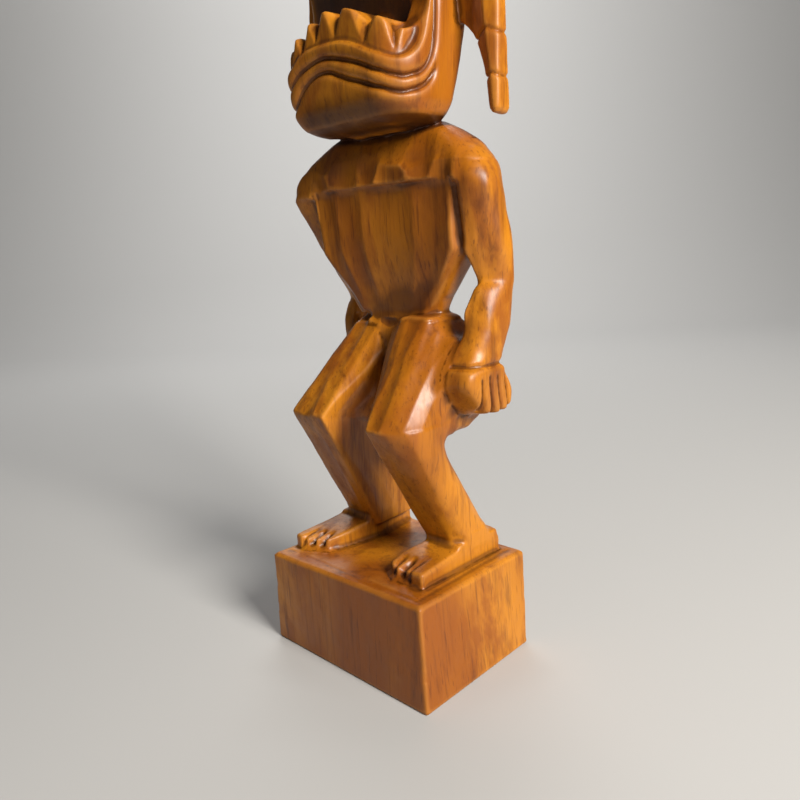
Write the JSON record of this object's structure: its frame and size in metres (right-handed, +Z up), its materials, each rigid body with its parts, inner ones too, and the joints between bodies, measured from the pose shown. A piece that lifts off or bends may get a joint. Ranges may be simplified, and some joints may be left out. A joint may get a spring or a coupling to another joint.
{
  "type": "carved tiki figure",
  "caption": "Standing hand-carved hardwood figure with bent knees, hands at the hips and a grooved, open, toothed mouth, on a rectangular block base that it stands on free.",
  "frame": {"origin": "middle of the underside of the base block", "axes": "+Z up, the figure faces -Y, +X is the figure's own left"},
  "size_m": [0.1186, 0.081, 0.432],
  "materials": {
    "base_block": "hand-carved hardwood with a satin oil and varnish finish",
    "left_leg": "hand-carved hardwood with a satin oil and varnish finish",
    "right_leg": "hand-carved hardwood with a satin oil and varnish finish",
    "torso": "hand-carved hardwood with a satin oil and varnish finish",
    "left_arm": "hand-carved hardwood with a satin oil and varnish finish",
    "right_arm": "hand-carved hardwood with a satin oil and varnish finish",
    "head": "hand-carved hardwood with a satin oil and varnish finish",
    "headdress": "hand-carved hardwood with a satin oil and varnish finish",
    "left_hair_lock": "hand-carved hardwood with a satin oil and varnish finish",
    "right_hair_lock": "hand-carved hardwood with a satin oil and varnish finish",
    "foot_dowels": "plain unfinished dowel, glued in",
    "hip_dowels": "plain unfinished dowel, glued in",
    "shoulder_dowels": "plain unfinished dowel, glued in",
    "neck_dowel": "plain unfinished dowel, glued in",
    "headdress_dowels": "plain unfinished dowel, glued in",
    "hair_lock_dowels": "plain unfinished dowel, glued in"
  },
  "bodies": {
    "root": {"base_block": "base_block", "left_leg": "left_leg", "right_leg": "right_leg", "torso": "torso", "left_arm": "left_arm", "right_arm": "right_arm", "head": "head", "headdress": "headdress", "left_hair_lock": "left_hair_lock", "right_hair_lock": "right_hair_lock", "foot_dowels": "foot_dowels", "hip_dowels": "hip_dowels", "shoulder_dowels": "shoulder_dowels", "neck_dowel": "neck_dowel", "headdress_dowels": "headdress_dowels", "hair_lock_dowels": "hair_lock_dowels"}
  },
  "joints": []
}
